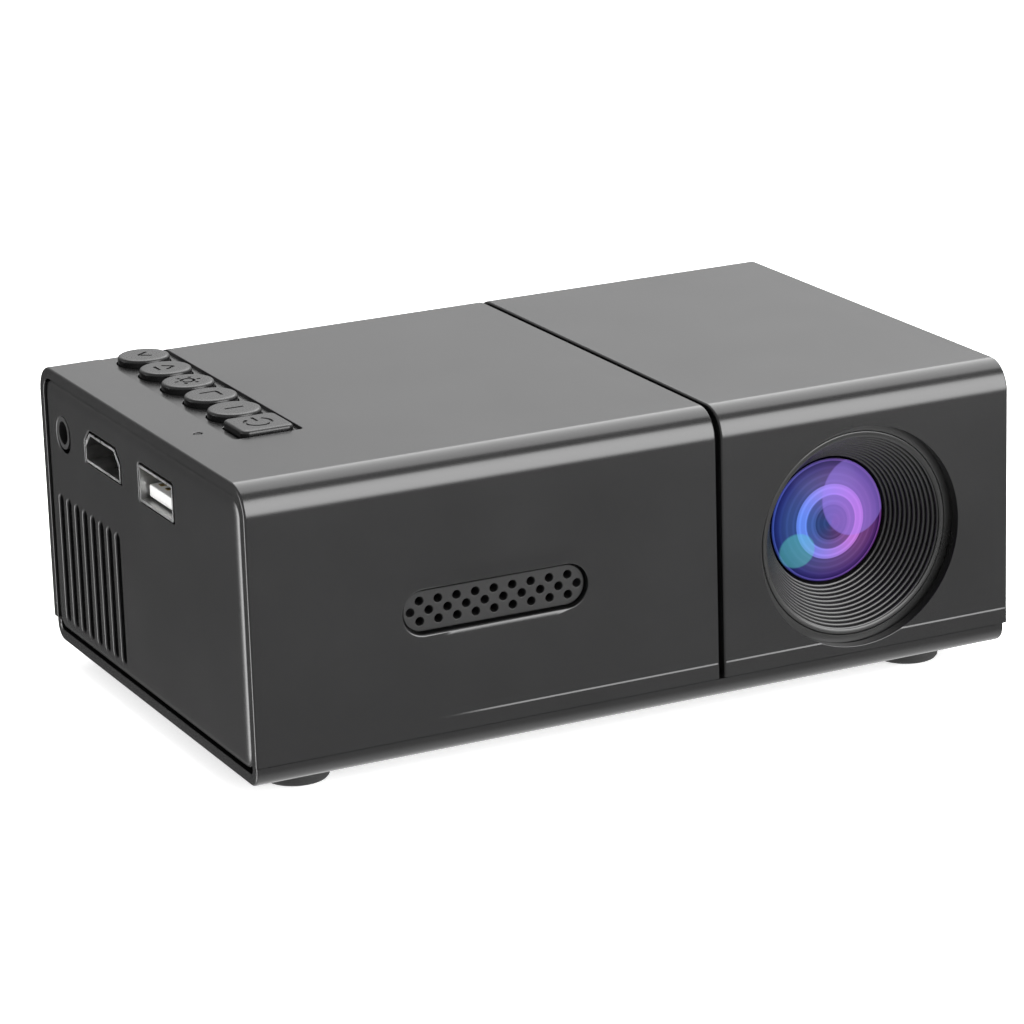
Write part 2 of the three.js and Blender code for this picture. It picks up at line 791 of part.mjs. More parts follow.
function fanRotor() {
  const start = fanStart() + 0.6;
  const end = fanStart() + fanThickness - 1.2 - clearance;
  const hub = rod('x', hubRadius - 0.2, start, end, ventCentreY, fanCentreZ);
  const blades = Array.from({ length: bladeCount }, (_, k) => {
    const bar = new THREE.BoxGeometry(bladeThickness, (end - start) * 0.95, fanRadius - hubRadius + 1);
    bar.rotateZ(Math.PI / 4);
    bar.translate(0, 0, (fanRadius + hubRadius - 1.2) / 2);
    bar.rotateX((k * 2 * Math.PI) / bladeCount);
    bar.translate((start + end) / 2, ventCentreY, fanCentreZ);
    return solid(bar);
  });
  return join(hub, ...blades);
}

// ---- focusing lens

// the user turns this ring by its ribbed funnel; its skirt has one sloping slot for each pin
function focusRing() {
  const rim = ringRimSink;
  const flangeFront = wall + clearance;
  const flangeBack = flangeFront + ringFlangeThickness;
  const profile = [[coneMouth, rim], [ringRimRadius, rim], [ringRimRadius, flangeFront],
    [ringFlangeRadius, flangeFront], [ringFlangeRadius, flangeBack], [coneMouth + 1, flangeBack],
    [skirtOuter, coneEnd], [skirtOuter, skirtEnd], [skirtInner, skirtEnd],
    [skirtInner, cellFront + clearance],
    [coneThroat, cellFront + clearance], [coneThroat, coneEnd]];
  const rise = (coneEnd - rim) / coneSteps;
  const run = (coneMouth - coneThroat) / coneSteps;
  for (let k = coneSteps; k > 0; k -= 1) {
    const behind = rim + (k - 1) * rise;
    const radius = coneMouth - k * run;
    profile.push([radius, behind + rise * 0.45], [radius + run, behind + rise * 0.45]);
  }
  profile.push([coneMouth, rim]);
  const slots = Array.from({ length: pinCount }, (_, k) => slopingSlot((k * 2 * Math.PI) / pinCount));
  return cut(turned(profile), ...slots);
}

// a slot wrapped round the lens axis that moves back as the angle falls
function slopingSlot(angle) {
  const reach = focusAngle + (pinRadius + pinSlack) / skirtInner;
  const geometry = new THREE.BoxGeometry(2 * reach, 2 * (pinRadius + pinSlack), skirtWall + 2, 10, 1, 1);
  const spot = geometry.attributes.position;
  for (let i = 0; i < spot.count; i += 1) {
    const turn = spot.getX(i);
    const radius = (skirtInner + skirtOuter) / 2 + spot.getZ(i);
    const theta = angle - turn;
    const y = frontFace + cellFront + cellPinAt + spot.getY(i) + focusRatio * turn;
    spot.setXYZ(i, lensX + radius * Math.sin(theta), y, lensZ + radius * Math.cos(theta));
  }
  return solid(geometry);
}

function guideTube() {
  const start = cellFront + 2 * clearance;
  const profile = [[tubeInner, start], [tubeOuter, start], [tubeOuter, tubeEnd - tubeFlange],
    [tubeFlangeRadius, tubeEnd - tubeFlange], [tubeFlangeRadius, tubeEnd], [tubeInner, tubeEnd],
    [tubeInner, start]];
  const half = pinRadius + pinSlack;
  const slots = Array.from({ length: pinCount }, (_, k) => {
    const slot = new THREE.BoxGeometry(2 * half, 2 * (focusTravel + half), 4);
    slot.translate(0, frontFace + cellFront + cellPinAt, tubeInner + 0.5);
    slot.rotateY((k * 2 * Math.PI) / pinCount);
    slot.translate(lensX, 0, lensZ);
    return solid(slot);
  });
  return cut(turned(profile), ...slots);
}

function lensCell() {
  const inner = cellRadius - cellWall;
  const end = cellFront + cellLength;
  const seat = cellFront + cellSeat;
  const profile = [[inner, cellFront], [cellRadius, cellFront], [cellRadius, end], [inner, end],
    [inner, seat + seatThickness], [inner - seatRing, seat + seatThickness], [inner - seatRing, seat],
    [inner, seat], [inner, cellFront]];
  const pins = Array.from({ length: pinCount }, (_, k) => {
    const pin = new THREE.CylinderGeometry(pinRadius, pinRadius, skirtOuter - inner - 0.4, 12);
    pin.rotateX(Math.PI / 2);
    pin.translate(0, frontFace + cellFront + cellPinAt, (skirtOuter + inner) / 2);
    pin.rotateY((k * 2 * Math.PI) / pinCount);
    pin.translate(lensX, 0, lensZ);
    return solid(pin);
  });
  return join(turned(profile), ...pins);
}

function lensArc(radius, edge, bulge, steps) {
  const points = [];
  for (let k = 0; k <= steps; k += 1) {
    const r = (radius * k) / steps;
    points.push([r, edge - bulge * (1 - (r / radius) ** 2)]);
  }
  return points;
}

// the glass nearest the front: a shallow dome whose head covers the end of the cell
function frontLens() {
  const head = cellRadius - flatGap;
  const radius = cellRadius - cellWall - glassSlack;
  const edge = cellFront - glassHead;
  const back = cellFront + cellSeat - flatGap;
  return turned([...lensArc(head, edge, glassBulge, 5), [head, cellFront - flatGap],
    [radius, cellFront - flatGap],
    [radius, back], [0, back]]);
}

function rearLens() {
  const radius = cellRadius - cellWall - glassSlack;
  const front = cellFront + cellSeat + seatThickness + flatGap;
  const edge = front + 2;
  return turned([[0, front], [radius, front], ...lensArc(radius, edge, -1.2, 4).reverse()]);
}

// ---- light engine

function opticalBox() {
  const outer = block(lensX - boxHalfWidth, lensX + boxHalfWidth, boxFront, boxBack,
    lensZ - boxHalfHeight, lensZ + boxHalfHeight);
  const inner = block(lensX - boxHalfWidth + boxWall, lensX + boxHalfWidth - boxWall, boxFront + boxWall,
    boxBack + 1, lensZ - boxHalfHeight + boxWall, lensZ + boxHalfHeight - boxWall);
  const window = rod('y', tubeInner, boxFront - 1, boxFront + boxWall + 1, lensX, lensZ, fine);
  const grooves = plateNames.map((name, k) => plate((k + 1) * plateSpacing, clearance / 2));
  return cut(outer, inner, window, ...grooves);
}

// a square optical plate standing in the box's grooves
function plate(behind, grow) {
  const [w, h] = [boxHalfWidth - boxWall + grooveDepth - 0.3, boxHalfHeight - boxWall + grooveDepth - 0.3];
  const y = boxFront + behind;
  return block(lensX - w - grow, lensX + w + grow, y - grow, y + plateThickness + grow,
    lensZ - h - grow, lensZ + h + grow);
}

function lightFunnel() {
  const [w, h] = [boxHalfWidth - boxWall - clearance, boxHalfHeight - boxWall - clearance];
  const funnel = (shrink, over) => {
    const geometry = new THREE.BoxGeometry(2, funnelEnd - funnelStart + 2 * over, 2);
    const spot = geometry.attributes.position;
    for (let i = 0; i < spot.count; i += 1) {
      const wide = spot.getY(i) < 0;
      const halfX = (wide ? w : funnelThroat) - shrink;
      const halfZ = (wide ? h : funnelThroat) - shrink;
      spot.setX(i, spot.getX(i) * halfX);
      spot.setZ(i, spot.getZ(i) * halfZ);
    }
    geometry.translate(lensX, boxFront + (funnelStart + funnelEnd) / 2, lensZ);
    return solid(geometry);
  };
  return cut(funnel(0, 0), funnel(1, 0.01));
}

function condenserLens() {
  const edge = funnelEnd + tubeEnd + clearance + 0.4;
  const r = condenserRadius;
  return turned([...lensArc(r, edge + 1.6, 1.4, 4), [r, edge + 2.4], [0, edge + 2.4]], round);
}

function ledChip() {
  const y = boxBack - 1.4;
  const half = ledSize / 2;
  return block(lensX - half, lensX + half, y, boxBack + clearance - flatGap, lensZ - half, lensZ + half);
}

function ledPlate() {
  const y = boxBack + clearance;
  const [w, h] = [boxHalfWidth - 3, boxHalfHeight - 3];
  return block(lensX - w, lensX + w, y, y + ledBoard, lensZ - h, lensZ + h);
}

function heatSink() {
  const y = boxBack + clearance + ledBoard + flatGap;
  const half = boxHalfWidth - 2;
  const [low, high] = [coverBottom + postHeight + 3 * clearance, lensZ + boxHalfHeight];
  const base = block(lensX - half, lensX + half, y, y + sinkBase, low, high);
  const pitch = (2 * half - finThickness) / (finCount - 1);
  const fins = Array.from({ length: finCount }, (_, k) => {
    const x = lensX - half + k * pitch;
    return block(x, x + finThickness, y + sinkBase - 0.2, y + sinkDepth, low, high);
  });
  return join(base, ...fins);
}

// ---- the whole projector

const charcoal = () => plastic(0x3b3b3c, 0.42);
const blackPlastic = () => plastic(0x161617, 0.55);
const steel = () => metal(0xb9bcc0, 0.32);
const glass = (colour) => new THREE.MeshStandardMaterial({ color: colour, roughness: 0.05, metalness: 0 });

piece('main_cover', mainCover(), charcoal());
piece('lens_cover', lensCover(), charcoal());
piece('bottom_shell', bottomShell(), charcoal());
piece('port_panel', portPanel(), charcoal());
piece('vent_panel', endPanel(1), charcoal());
piece('speaker_grille', speakerGrille(), charcoal());
for (const [row, y] of [['front', -1], ['rear', 1]]) {
  for (const [side, x] of [['left', -1], ['right', 1]]) {
    piece(`foot_${row}_${side}`, foot(x * footX, y * footY), plastic(0x1b1b1c, 0.8));
    piece(`case_screw_${row}_${side}`, caseScrew(x * footX, y * footY), steel());
  }
}
piece('tripod_nut', tripodNut(), metal(0xb08d4c, 0.35));

for (const place of keyPlaces()) {
  piece(place.name, keyCap(place), charcoal());
  piece(place.name.replace('key', 'switch'), keySwitch(place.y), blackPlastic());
}
piece('light_pipe', lightPipe(), glass(0xdfe4e8));

piece('main_board', mainBoard(), plastic(0x1f5a35, 0.5));
piece('hdmi_socket', hdmiSocket(), steel());
piece('hdmi_tongue', hdmiTongue(), blackPlastic());
piece('usb_socket', usbSocket(), steel());
piece('usb_tongue', usbTongue(), plastic(0xe9e9e6, 0.45));
piece('av_jack', avJack(), blackPlastic());
piece('power_jack', powerJack(), blackPlastic());
piece('card_slot', cardSlot(), steel());
piece('scaler_chip', scalerChip(), blackPlastic());
piece('capacitor', capacitor(), metal(0x8f9499, 0.4));

piece('speaker_frame', speakerFrame(), steel());
piece('speaker_cone', speakerCone(), plastic(0x222222, 0.8));
piece('speaker_magnet', speakerMagnet(), steel());
piece('fan_frame', fanFrame(), blackPlastic());
piece('fan_rotor', fanRotor(), blackPlastic());

piece('focus_ring', focusRing(), plastic(0x2a2a2a, 0.45));
piece('guide_tube', guideTube(), blackPlastic());
piece('lens_cell', lensCell(), blackPlastic());
piece('front_lens', frontLens(), glass(0x5b3fa8));
piece('rear_lens', rearLens(), glass(0xb9c6d6));
piece('optical_box', opticalBox(), blackPlastic());
plateNames.forEach((name, k) => {
  piece(name, plate((k + 1) * plateSpacing, 0), glass(name === 'lcd_panel' ? 0x22262c : 0xc9d2da));
});
piece('light_funnel', lightFunnel(), metal(0xd5d8da, 0.2));
piece('condenser_lens', condenserLens(), glass(0xc9d2da));
piece('led_chip', ledChip(), plastic(0xe8d27a, 0.4));
piece('led_board', ledPlate(), metal(0xd9dadb, 0.5));
piece('heat_sink', heatSink(), metal(0xa9adb1, 0.38));

export default projector;
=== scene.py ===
# A small home projector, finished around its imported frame.
# Shapes are worked out in millimetres and turned to metres when a mesh is made.
import json
import math

import bmesh
import bpy
import numpy as np
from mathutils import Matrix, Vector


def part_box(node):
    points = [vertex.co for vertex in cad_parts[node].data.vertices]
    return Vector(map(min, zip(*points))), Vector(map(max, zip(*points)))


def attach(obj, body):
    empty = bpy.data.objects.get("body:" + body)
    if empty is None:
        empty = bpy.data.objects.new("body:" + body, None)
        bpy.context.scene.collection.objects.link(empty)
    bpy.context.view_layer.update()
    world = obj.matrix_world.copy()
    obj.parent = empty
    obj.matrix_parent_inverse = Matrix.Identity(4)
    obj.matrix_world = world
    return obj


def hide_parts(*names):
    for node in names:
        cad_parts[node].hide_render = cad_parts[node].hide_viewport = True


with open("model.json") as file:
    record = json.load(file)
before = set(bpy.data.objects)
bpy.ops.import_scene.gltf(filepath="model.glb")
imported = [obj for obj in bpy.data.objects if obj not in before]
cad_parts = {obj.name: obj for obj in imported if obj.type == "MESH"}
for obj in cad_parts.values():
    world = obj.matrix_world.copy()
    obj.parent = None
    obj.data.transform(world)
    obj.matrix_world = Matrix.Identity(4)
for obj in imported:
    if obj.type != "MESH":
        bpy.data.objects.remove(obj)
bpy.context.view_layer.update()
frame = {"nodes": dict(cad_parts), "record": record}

mm = 0.001
nodes = frame["nodes"]
pi = math.pi


def boxOf(node):  # lowest and highest corner of a node, in millimetres
    low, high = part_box(node)
    return np.array(low) / mm, np.array(high) / mm


# ---- camera

cameraSet = {"azimuth": -25.88, "elevation": 16.98, "roll": -1.8, "distance": 655.0,
             "target": (-1.54, 0.0, 24.54), "lens": 148.24}


def makeCamera(s):
    a, e, r = (math.radians(s[k]) for k in ("azimuth", "elevation", "roll"))
    back = np.array([math.sin(a) * math.cos(e), -math.cos(a) * math.cos(e), math.sin(e)])
    side = np.cross(-back, [0, 0, 1])
    side /= np.linalg.norm(side)
    up = np.cross(side, -back)
    right = side * math.cos(r) + up * math.sin(r)  # roll turns the picture about the view line
    top = up * math.cos(r) - side * math.sin(r)
    spot = (np.array(s["target"]) + back * s["distance"]) * mm
    camera = bpy.data.objects.new("camera", bpy.data.cameras.new("camera"))
    camera.data.lens = s["lens"]
    camera.data.clip_start = 0.01
    turn = np.eye(4)
    turn[:3, 0], turn[:3, 1], turn[:3, 2], turn[:3, 3] = right, top, back, spot
    camera.matrix_world = turn.T.tolist()
    bpy.context.scene.collection.objects.link(camera)
    bpy.context.scene.camera = camera


makeCamera(cameraSet)
print("camera placed")


# ---- shapes as grids of points

def arc(cx, cy, radius, start, end, steps):  # centre + radius * (cos t, sin t), t in degrees
    t = np.radians(np.linspace(start, end, steps))
    return np.column_stack([cx + radius * np.cos(t), cy + radius * np.sin(t)])


def loopNormals(loop):  # outward normal at each point of a counter-clockwise loop
    step = np.roll(loop, -1, 0) - np.roll(loop, 1, 0)
    step /= np.maximum(np.linalg.norm(step, axis=1, keepdims=True), 1e-9)
    return np.column_stack([step[:, 1], -step[:, 0]])


def circle(radius, steps=48):
    t = np.linspace(0, 2 * pi, steps, endpoint=False)
    ring = np.column_stack([np.cos(t), np.sin(t)])
    return ring * radius, ring


def roundedBox(width, height, radii, steps=8):  # four arcs joined, from the lower right corner round
    low, high = (radii, radii) if np.isscalar(radii) else radii
    w, h = width / 2, height / 2
    corners = [(w - low, low - h, low, -90), (w - high, h - high, high, 0),
               (high - w, h - high, high, 90), (low - w, low - h, low, 180)]
    points, normals = [], []
    for cx, cy, radius, start in corners:
        points.append(arc(cx, cy, radius, start, start + 90, steps))
        normals.append(arc(0, 0, 1, start, start + 90, steps))
    return np.vstack(points), np.vstack(normals)


def ribbon(line, width):  # an open line given a width: its two offset sides joined end to end
    line = np.asarray(line, float)
    step = np.gradient(line, axis=0)
    step /= np.linalg.norm(step, axis=1, keepdims=True)
    side = np.column_stack([step[:, 1], -step[:, 0]]) * width / 2
    loop = np.vstack([line + side, (line - side)[::-1]])
    return loop, loopNormals(loop)


def stacked(outline, steps, origin, facing):
    # an outline carried along an axis: at each step (along, grow) it is pushed out by grow along its normals
    axes = {"z": ((1, 0, 0), (0, 1, 0), (0, 0, 1)), "-y": ((1, 0, 0), (0, 0, 1), (0, -1, 0)),
            "y": ((-1, 0, 0), (0, 0, 1), (0, 1, 0)), "x": ((0, 1, 0), (0, 0, 1), (1, 0, 0)),
            "-x": ((0, -1, 0), (0, 0, 1), (-1, 0, 0)), "-z": ((-1, 0, 0), (0, 1, 0), (0, 0, -1))}
    u, v, w = (np.array(a, float) for a in axes[facing])
    loop, normals = outline
    steps = np.asarray(steps, float)
    flat = loop[None] + normals[None] * steps[:, 1, None, None]
    return origin + flat[..., :1] * u + flat[..., 1:] * v + steps[:, 0, None, None] * w


def turnedRings(profile, centre, facing, sides=96):  # radius and distance pairs turned about an axis
    profile = np.asarray(profile, float)
    return stacked(circle(0.0, sides), profile[:, ::-1], centre, facing)


def skin(rings, ends=True, round_=False):
    # quads between each ring and the next; ends closes the two outer rings, round_ joins last to first
    count, around = rings.shape[:2]
    i, j = np.meshgrid(np.arange(count if round_ else count - 1), np.arange(around), indexing="ij")
    a, b = i * around + j, i * around + (j + 1) % around
    over = around * count
    quads = np.stack([a, b, (b + around) % over, (a + around) % over], -1).reshape(-1, 4).tolist()
    if ends and not round_:
        quads.append(list(range(around))[::-1])
        quads.append(list(range(over - around, over)))
    return rings.reshape(-1, 3), quads


def build(name, *skins, smooth=35, weighted=True, clean=True):
    points, faces, base = [], [], 0
    for verts, quads in skins:
        points.append(verts)
        faces += [[base + k for k in face] for face in quads]
        base += len(verts)
    mesh = bpy.data.meshes.new(name)
    mesh.from_pydata((np.vstack(points) * mm).tolist(), [], faces)
    if clean:  # poles merged, faces turned outward
        work = bmesh.new()
        work.from_mesh(mesh)
        bmesh.ops.remove_doubles(work, verts=work.verts, dist=2e-7)
        bmesh.ops.dissolve_degenerate(work, dist=1e-7, edges=work.edges)
        bmesh.ops.recalc_face_normals(work, faces=work.faces)
        work.to_mesh(mesh)
        work.free()
    piece = bpy.data.objects.new(name, mesh)
    bpy.context.scene.collection.objects.link(piece)
    shade(piece, smooth, weighted)
    return piece


def shade(piece, smooth, weighted=True):
    piece.data.shade_smooth()
    piece.data.set_sharp_from_angle(angle=math.radians(smooth))
    if weighted and "weighted" not in piece.modifiers:
        weigh = piece.modifiers.new("weighted", "WEIGHTED_NORMAL")
        weigh.keep_sharp = True


def cutOut(piece, *skins):  # one exact boolean with all the cutters, applied to the mesh
    tool = build("tool", *skins, weighted=False)
    cut = piece.modifiers.new("cut", "BOOLEAN")
    cut.object = tool
    cut.solver = "EXACT"
    cut.use_self = True
    piece.modifiers.move(len(piece.modifiers) - 1, 0)
    weigh = piece.modifiers.get("weighted")
    weigh.show_viewport = False
    ready = bpy.context.evaluated_depsgraph_get()
    mesh = bpy.data.meshes.new_from_object(piece.evaluated_get(ready))
    piece.modifiers.remove(cut)
    weigh.show_viewport = True
    old = piece.data
    piece.data = mesh
    mesh.name = piece.name
    bpy.data.meshes.remove(old)
    bpy.data.objects.remove(tool)
    shade(piece, 35)


def place(piece, body, slot, material, *replaced):
    piece.data.materials.clear()
    piece.data.materials.append(material)
    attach(piece, body)
    if replaced:
        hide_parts(*replaced)
    return piece


# ---- materials

def material(name, **sockets):
    m = bpy.data.materials.new(name)
    m.use_nodes = True
    shader = m.node_tree.nodes["Principled BSDF"]
    for key, value in sockets.items():
        shader.inputs[key.replace("_", " ").title().replace("Ior", "IOR")].default_value = value
    return m, m.node_tree, shader


def node(tree, kind, inputs=None, **settings):
    n = tree.nodes.new("ShaderNode" + kind)
    for key, value in settings.items():
        setattr(n, key, value)
    for key, value in (inputs or {}).items():
        if isinstance(value, bpy.types.NodeSocket):
            tree.links.new(value, n.inputs[key])
        else:
            n.inputs[key].default_value = value
    return n


def ramp(tree, factor, stops, mode="LINEAR"):
    n = node(tree, "ValToRGB", {"Fac": factor})
    band = n.color_ramp
    band.interpolation = mode
    while len(band.elements) < len(stops):
        band.elements.new(0.5)
    for element, (at, colour) in zip(band.elements, stops):
        element.position = at
        element.color = (*colour, 1) if len(colour) == 3 else colour
    return n.outputs["Color"]


def noise(tree, place_, scale, detail=3.0, rough=0.55):
    return node(tree, "TexNoise", {"Vector": place_, "Scale": scale, "Detail": detail,
                                   "Roughness": rough}).outputs["Fac"]


def grainy(name, dark, light, rough=(0.38, 0.46), grain=4200, bump=0.06, depth=0.00006, patch=60, **sockets):
    # moulded skin: a fine spark-eroded grain in bump, with slow drifts of tone and gloss over it
    m, tree, shader = material(name, **sockets)
    where = node(tree, "TexCoord").outputs["Object"]
    slow = noise(tree, where, patch, 4)
    fine = noise(tree, where, grain, 2)
    mixed = node(tree, "Math", {0: slow, 1: fine}, operation="ADD").outputs[0]
    half = node(tree, "Math", {0: mixed, 1: 0.5}, operation="MULTIPLY").outputs[0]
    tree.links.new(ramp(tree, half, [(0.3, dark), (0.7, light)]), shader.inputs["Base Color"])
    gloss = node(tree, "MapRange", {"Value": half, "From Min": 0.3, "From Max": 0.7,
                                    "To Min": rough[0], "To Max": rough[1]})
    tree.links.new(gloss.outputs["Result"], shader.inputs["Roughness"])
    lump = node(tree, "Bump", {"Height": fine, "Strength": bump, "Distance": depth})
    tree.links.new(lump.outputs["Normal"], shader.inputs["Normal"])
    return m


def brushed(name, dark, light, rough=(0.22, 0.36), stretch=(40, 900, 900), bump=0.05, **sockets):
    # metal with fine lines drawn along one axis, from a noise stretched along it
    m, tree, shader = material(name, metallic=1.0, **sockets)
    where = node(tree, "TexCoord").outputs["Object"]
    run = node(tree, "Mapping", {"Vector": where, "Scale": stretch}).outputs["Vector"]
    lines = noise(tree, run, 1.0, 5)
    cloud = noise(tree, where, 180, 3)
    both = node(tree, "Math", {0: lines, 1: cloud}, operation="ADD").outputs[0]
    half = node(tree, "Math", {0: both, 1: 0.5}, operation="MULTIPLY").outputs[0]
    tree.links.new(ramp(tree, half, [(0.35, dark), (0.65, light)]), shader.inputs["Base Color"])
    gloss = node(tree, "MapRange", {"Value": half, "From Min": 0.35, "From Max": 0.65,
                                    "To Min": rough[0], "To Max": rough[1]})
    tree.links.new(gloss.outputs["Result"], shader.inputs["Roughness"])
    lump = node(tree, "Bump", {"Height": lines, "Strength": bump, "Distance": 0.00005})
    tree.links.new(lump.outputs["Normal"], shader.inputs["Normal"])
    return m


casePlastic = grainy("caseplastic", (0.0035, 0.0035, 0.0036), (0.005, 0.005, 0.0051), (0.2, 0.25), bump=0.03)
panelPlastic = grainy("panelplastic", (0.004, 0.004, 0.0041), (0.0055, 0.0055, 0.0056), (0.22, 0.27), bump=0.03)
grillePlastic = grainy("grilleplastic", (0.006, 0.006, 0.006), (0.009, 0.009, 0.009), (0.4, 0.48), specular_ior_level=0.32)
keyPlastic = grainy("keyplastic", (0.004, 0.004, 0.0041), (0.006, 0.006, 0.0061), (0.24, 0.32), specular_ior_level=0.34)
ringPlastic = grainy("ringplastic", (0.005, 0.005, 0.005), (0.008, 0.008, 0.0078), (0.26, 0.32), bump=0.01)
blackPlastic = grainy("blackplastic", (0.002, 0.002, 0.002), (0.004, 0.004, 0.0042), (0.5, 0.65), specular_ior_level=0.3)
rubber = grainy("rubber", (0.007, 0.007, 0.007), (0.013, 0.013, 0.013), (0.7, 0.85), grain=2500, bump=0.2)
whitePlastic = grainy("whiteplastic", (0.72, 0.72, 0.7), (0.8, 0.8, 0.79), (0.3, 0.4), bump=0.02)
plated = brushed("platedsheet", (0.34, 0.34, 0.34), (0.5, 0.5, 0.495), (0.25, 0.4))
zinc = brushed("zincsteel", (0.42, 0.43, 0.45), (0.6, 0.61, 0.62), (0.3, 0.45))
sinkMetal = brushed("sinkaluminium", (0.38, 0.39, 0.4), (0.55, 0.56, 0.57), (0.35, 0.5), (900, 900, 40))
brightMetal = brushed("brightaluminium", (0.78, 0.79, 0.8), (0.88, 0.89, 0.9), (0.1, 0.2))
brassMetal = brushed("brass", (0.5, 0.34, 0.12), (0.68, 0.5, 0.22), (0.2, 0.34), (900, 900, 60))
goldMetal = brushed("goldcontact", (0.6, 0.44, 0.18), (0.75, 0.58, 0.28), (0.2, 0.3))
boardGreen = grainy("circuitboard", (0.008, 0.05, 0.02), (0.015, 0.08, 0.03), (0.25, 0.4), grain=900, bump=0.3)
phosphor = grainy("phosphor", (0.7, 0.5, 0.08), (0.85, 0.66, 0.16), (0.3, 0.4))
clearSheet = grainy("clearsheet", (0.75, 0.78, 0.8), (0.85, 0.88, 0.9), (0.05, 0.12), bump=0.01,
                    transmission_weight=0.9, ior=1.49)
lcdSheet = grainy("lcdsheet", (0.02, 0.02, 0.025), (0.035, 0.035, 0.04), (0.05, 0.1), bump=0.01,
                  transmission_weight=0.3)
print("materials made")


# ---- covers

coverSet = {"wall": 1.8, "edge": 0.35, "topRadius": 4.5, "creaseHeight": 5.9, "creaseStep": 0.05,
            "creaseWidth": 0.28, "creaseFade": (-36.0, -26.0)}
mainLow, mainHigh = boxOf("main_cover")
lensLow, lensHigh = boxOf("lens_cover")
baseHeight = boxOf("bottom_shell")[0][2]  # underside of the case above the floor


def uPath(halfWidth, low, top, radius, fine=14):
    # stations up the front wall, round its arc, over the top and down the back: points and outward normals
    heights = np.concatenate([[low], baseHeight + coverSet["creaseHeight"]
                              + np.linspace(-0.5, 0.5, 9) * coverSet["creaseWidth"], [12, 21.5, 32, 38, top - radius]])
    front = np.column_stack([np.full(len(heights), -halfWidth), heights])
    frontArc = arc(-halfWidth + radius, top - radius, radius, 180, 90, fine)[1:]
    across = np.column_stack([np.linspace(-halfWidth + radius, halfWidth - radius, 9), np.full(9, top)])[1:]
    half = np.vstack([front, frontArc, across])
    back = np.vstack([front, frontArc])[::-1] * [-1, 1]
    points = np.vstack([half, back[1:]])
    turn = np.vstack([np.tile([-1.0, 0.0], (len(front), 1)), arc(0, 0, 1, 180, 90, fine)[1:], np.tile([0.0, 1.0], (8, 1))])
    turnBack = (np.vstack([np.tile([-1.0, 0.0], (len(front), 1)), arc(0, 0, 1, 180, 90, fine)[1:]])[::-1] * [-1, 1])[1:]
    return points, np.vstack([turn, turnBack])


def wallLoop(x0, x1, wall, edge, steps=5, inner=0.15):
    # section of the wall: x along the case, depth into it, its two outer edges rounded
    outer = np.linspace(x0 + edge, x1 - edge, 26)
    rounded = [arc(x0 + edge, edge, edge, 180, 270, steps), np.column_stack([outer[1:-1], np.zeros(24)]),
               arc(x1 - edge, edge, edge, 270, 360, steps), arc(x1 - inner, wall - inner, inner, 0, 90, 3),
               arc(x0 + inner, wall - inner, inner, 90, 180, 3)]
    return np.vstack(rounded)


def shellSkin(path, loop, crease=None):
    # each path point carries the wall's section: x stays, depth runs against the normal
    points, normals = path
    deep = np.tile(loop[:, 1], (len(points), 1))
    if crease:
        height = points[:, 1:2] - baseHeight
        rise = np.clip((height - crease["creaseHeight"]) / crease["creaseWidth"] + 0.5, 0, 1)
        start, end = crease["creaseFade"]
        fade = np.clip((loop[None, :, 0] - start) / (end - start), 0, 1)
        outer = (loop[None, :, 1] < crease["wall"] / 2)
        side = np.abs(normals[:, :1])
        deep = deep + crease["creaseStep"] * rise * fade * outer * side
    y = points[:, :1] - normals[:, :1] * deep
    z = points[:, 1:] - normals[:, 1:] * deep
    x = np.tile(loop[:, 0], (len(points), 1))
    return skin(np.stack([x, y, z], -1))


coverPath = uPath(mainHigh[1], mainLow[2], mainHigh[2], coverSet["topRadius"])
ringCentre = np.array([*(np.add(*boxOf("focus_ring")) / 2)])
lensX, lensZ = ringCentre[0], ringCentre[2]
frontY, backY, topZ = mainLow[1], mainHigh[1], mainHigh[2]
splitStart, splitEnd = lensLow[0] - 1.0, lensLow[0] - 0.2
mainShell = shellSkin(coverPath, wallLoop(mainLow[0], splitStart, coverSet["wall"], coverSet["edge"]), coverSet)
lensShell = shellSkin(coverPath, wallLoop(splitEnd, lensHigh[0], coverSet["wall"], coverSet["edge"]), coverSet)


def tongueSkin():  # the strip behind the groove, one step in from the covers
    s = {"inset": 2.1, "wall": 1.2}
    path = uPath(mainHigh[1] - s["inset"], mainLow[2], topZ - s["inset"], coverSet["topRadius"] - s["inset"] * 0.8)
    return shellSkin(path, wallLoop(splitStart - 4, mainHigh[0], s["wall"], 0.1))


stripSet = {"left": -54.0, "right": -43.0, "front": -16.6, "depth": 0.5, "flare": 0.12}
keySet = {"radius": 4.05, "square": 8.3, "corner": 1.2, "slack": 0.2, "sides": 64}


def mouth(outline, origin, facing, through, flare=0.2, depth=0.0):
    # a cutter whose rim opens out by flare over a quarter curve at the surface, depth below the origin
    t = np.linspace(0, pi / 2, 5)
    curve = np.column_stack([-depth + flare * (np.sin(t) - 1) + 0 * t, flare * (1 - np.cos(t))])
    steps = np.vstack([[-through, 0], curve, [[2.0, flare]]])
    return skin(stacked(outline, steps, np.array(origin, float), facing))


def slide(outline, du, dv):  # the same outline moved sideways in its own plane
    return outline[0] + [du, dv], outline[1]


keyNames = ["power_key"] + [f"round_key_{k}" for k in range(1, 6)]
keySpots = {name: np.add(*boxOf(name)) / 2 for name in keyNames}


def keyOutline(name, grow=0.0):
    if name == "power_key":
        size = keySet["square"] + 2 * grow
        return roundedBox(size, size, keySet["corner"] + grow)
    return circle(keySet["radius"] + grow, keySet["sides"])


